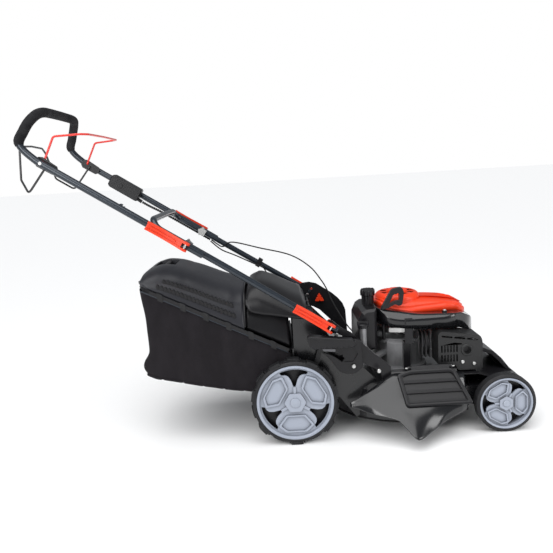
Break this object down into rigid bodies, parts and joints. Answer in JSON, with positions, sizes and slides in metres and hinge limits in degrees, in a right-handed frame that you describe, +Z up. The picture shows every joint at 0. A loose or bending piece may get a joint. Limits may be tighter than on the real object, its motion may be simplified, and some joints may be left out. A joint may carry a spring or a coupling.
{
  "type": "push lawn mower",
  "caption": "Self-propelled petrol lawn mower with grass bag, side discharge deflector and a folding tubular handle with two bails.",
  "frame": {"origin": "centre of the footprint's rectangle, on the ground", "axes": "+X forward, towards the front wheels; +Y to the mower's left; +Z up"},
  "size_m": [1.7034, 0.662, 1.1779],
  "materials": {
    "deck_paint": "gloss",
    "black_plastic": "satin",
    "orange_plastic": "satin",
    "grey_plastic": "satin",
    "tyre_rubber": "matte",
    "black_rubber": "matte",
    "cast_alloy": "matte",
    "bright_steel": "satin",
    "heat_paint": "matte",
    "tube_paint": "satin",
    "red_coating": "satin",
    "black_coating": "satin",
    "foam": "matte",
    "cable_sheath": "satin",
    "bag_fabric": "matte"
  },
  "bodies": {
    "chassis": {"deck": "deck_paint", "side_flap_rod": "bright_steel", "front_cover": "black_plastic", "bracket_left": "black_plastic", "bracket_right": "black_plastic", "height_quadrant": "black_plastic", "engine_block": "cast_alloy", "cylinder_head": "cast_alloy", "spark_plug": "black_rubber", "carburettor": "cast_alloy", "air_filter": "black_plastic", "muffler": "heat_paint", "muffler_guard": "heat_paint", "fuel_tank": "black_plastic", "blower_housing": "black_plastic", "starter_cover": "orange_plastic", "gearbox": "cast_alloy", "drive_belt": "black_rubber", "lower_bolt_left": "bright_steel", "lower_bolt_right": "bright_steel", "brake_cable": "cable_sheath", "drive_cable": "cable_sheath"},
    "crank": {"crankshaft": "bright_steel", "blade": "bright_steel"},
    "rear_carrier": {"rear_axle": "bright_steel", "height_lever": "black_plastic"},
    "front_carrier": {"front_axle": "bright_steel"},
    "tie_bar": {"height_link": "bright_steel"},
    "rear_wheel_left": {"rear_rim_left": "grey_plastic", "rear_tyre_left": "tyre_rubber"},
    "rear_wheel_right": {"rear_rim_right": "grey_plastic", "rear_tyre_right": "tyre_rubber"},
    "front_wheel_left": {"front_rim_left": "grey_plastic", "front_tyre_left": "tyre_rubber"},
    "front_wheel_right": {"front_rim_right": "grey_plastic", "front_tyre_right": "tyre_rubber"},
    "lower_frame": {"lower_handle": "tube_paint", "upper_bolt_left": "bright_steel", "upper_bolt_right": "bright_steel"},
    "upper_frame": {"upper_handle": "tube_paint", "foam_grip": "foam", "bail_bracket_left": "black_plastic", "bail_bracket_right": "black_plastic", "control_box": "black_plastic", "cable_sleeve": "cable_sheath"},
    "upper_clamp_left": {"upper_lever_left": "orange_plastic"},
    "upper_clamp_right": {"upper_lever_right": "orange_plastic"},
    "lower_clamp_left": {"lower_lever_left": "orange_plastic"},
    "lower_clamp_right": {"lower_lever_right": "orange_plastic"},
    "brake_lever": {"brake_bail": "red_coating"},
    "drive_lever": {"drive_bail": "black_coating"},
    "side_guard": {"side_flap": "black_plastic"},
    "deflector": {"side_chute": "black_plastic"},
    "rear_guard": {"rear_flap": "black_plastic"},
    "catcher": {"bag_frame": "black_plastic", "bag_top": "black_plastic", "bag_fabric": "bag_fabric"},
    "filler_cap": {"fuel_cap": "black_plastic"},
    "dipstick": {"oil_cap": "black_plastic"},
    "starter_grip": {"recoil_handle": "black_plastic"}
  },
  "joints": [
    {"name": "crank_spin", "type": "hinge", "parent": "chassis", "child": "crank", "pos_m": [0.43069, 0.04094, 0.076], "axis": [0, 0, 1], "continuous": true},
    {"name": "rear_axle_swing", "type": "hinge", "parent": "chassis", "child": "rear_carrier", "pos_m": [0.09269, 0.04094, 0.17], "axis": [0, 1, 0], "range_deg": [-4, 28]},
    {"name": "front_axle_swing", "type": "hinge", "parent": "chassis", "child": "front_carrier", "pos_m": [0.80869, 0.04094, 0.122], "axis": [0, 1, 0], "range_deg": [-4, 28]},
    {"name": "tie_bar_pivot", "type": "hinge", "parent": "rear_carrier", "child": "tie_bar", "pos_m": [0.09269, 0.04094, 0.232], "axis": [0, 1, 0], "range_deg": [-28, 4]},
    {"name": "rear_wheel_left_spin", "type": "hinge", "parent": "rear_carrier", "child": "rear_wheel_left", "pos_m": [0.03069, 0.27994, 0.15], "axis": [0, 1, 0], "continuous": true},
    {"name": "rear_wheel_right_spin", "type": "hinge", "parent": "rear_carrier", "child": "rear_wheel_right", "pos_m": [0.03069, -0.19806, 0.15], "axis": [0, 1, 0], "continuous": true},
    {"name": "front_wheel_left_spin", "type": "hinge", "parent": "front_carrier", "child": "front_wheel_left", "pos_m": [0.74669, 0.27594, 0.102], "axis": [0, 1, 0], "continuous": true},
    {"name": "front_wheel_right_spin", "type": "hinge", "parent": "front_carrier", "child": "front_wheel_right", "pos_m": [0.74669, -0.19406, 0.102], "axis": [0, 1, 0], "continuous": true},
    {"name": "lower_handle_tilt", "type": "hinge", "parent": "chassis", "child": "lower_frame", "pos_m": [0.16069, 0.04094, 0.404], "axis": [0, 1, 0], "range_deg": [-8, 18], "deforming": ["brake_cable", "drive_cable"]},
    {"name": "upper_handle_fold", "type": "hinge", "parent": "lower_frame", "child": "upper_frame", "pos_m": [-0.29431, 0.04094, 0.70402], "axis": [0, 1, 0], "range_deg": [0, 140], "deforming": ["brake_cable", "drive_cable"]},
    {"name": "upper_clamp_left_open", "type": "hinge", "parent": "lower_frame", "child": "upper_clamp_left", "pos_m": [-0.29431, 0.32004, 0.70402], "axis": [-0.5505, 0, -0.8348], "range_deg": [0, 115]},
    {"name": "upper_clamp_right_open", "type": "hinge", "parent": "lower_frame", "child": "upper_clamp_right", "pos_m": [-0.29431, -0.23816, 0.70402], "axis": [0.5505, 0, 0.8348], "range_deg": [0, 115]},
    {"name": "lower_clamp_left_open", "type": "hinge", "parent": "chassis", "child": "lower_clamp_left", "pos_m": [0.16069, 0.30924, 0.404], "axis": [-0.5505, 0, -0.8348], "range_deg": [0, 115]},
    {"name": "lower_clamp_right_open", "type": "hinge", "parent": "chassis", "child": "lower_clamp_right", "pos_m": [0.16069, -0.22736, 0.404], "axis": [0.5505, 0, 0.8348], "range_deg": [0, 115]},
    {"name": "brake_bail_squeeze", "type": "hinge", "parent": "upper_frame", "child": "brake_lever", "pos_m": [-0.72631, 0.04094, 0.995], "axis": [0, -1, 0], "range_deg": [0, 54], "stiffness_Nm_per_rad": 2, "springref_deg": -22.92},
    {"name": "drive_bail_squeeze", "type": "hinge", "parent": "upper_frame", "child": "drive_lever", "pos_m": [-0.71831, 0.04094, 0.983], "axis": [0, 1, 0], "range_deg": [0, 48], "stiffness_Nm_per_rad": 2, "springref_deg": -22.92},
    {"name": "side_flap_lift", "type": "hinge", "parent": "chassis", "child": "side_guard", "pos_m": [0.49669, -0.16506, 0.23], "axis": [-1, 0, 0], "range_deg": [0, 75], "stiffness_Nm_per_rad": 1, "springref_deg": -28.65},
    {"name": "deflector_unhook", "type": "slide", "parent": "chassis", "child": "deflector", "axis": [0, -0.5299, -0.848], "range_m": [0, 0.03]},
    {"name": "rear_flap_lift", "type": "hinge", "parent": "chassis", "child": "rear_guard", "pos_m": [0.09869, 0.04094, 0.45], "axis": [0, 1, 0], "range_deg": [0, 70], "stiffness_Nm_per_rad": 3, "springref_deg": -45.84},
    {"name": "bag_pull", "type": "slide", "parent": "chassis", "child": "catcher", "axis": [-1, 0, 0], "range_m": [0, 0.35]},
    {"name": "fuel_cap_turn", "type": "hinge", "parent": "chassis", "child": "filler_cap", "pos_m": [0.31569, -0.01906, 0.46], "axis": [0, 0, 1], "range_deg": [0, 90]},
    {"name": "oil_cap_turn", "type": "hinge", "parent": "chassis", "child": "dipstick", "pos_m": [0.28069, -0.12306, 0.384], "axis": [0, 0, 1], "range_deg": [0, 180]},
    {"name": "recoil_pull", "type": "slide", "parent": "chassis", "child": "starter_grip", "axis": [-0.6991, -0.1498, 0.6991], "range_m": [0, 0.4], "stiffness_N_per_m": 40, "springref_m": -0.3}
  ],
  "couplings": [
    {"joint": "front_axle_swing", "follows": "rear_axle_swing", "ratio": 1},
    {"joint": "tie_bar_pivot", "follows": "rear_axle_swing", "ratio": -1}
  ]
}
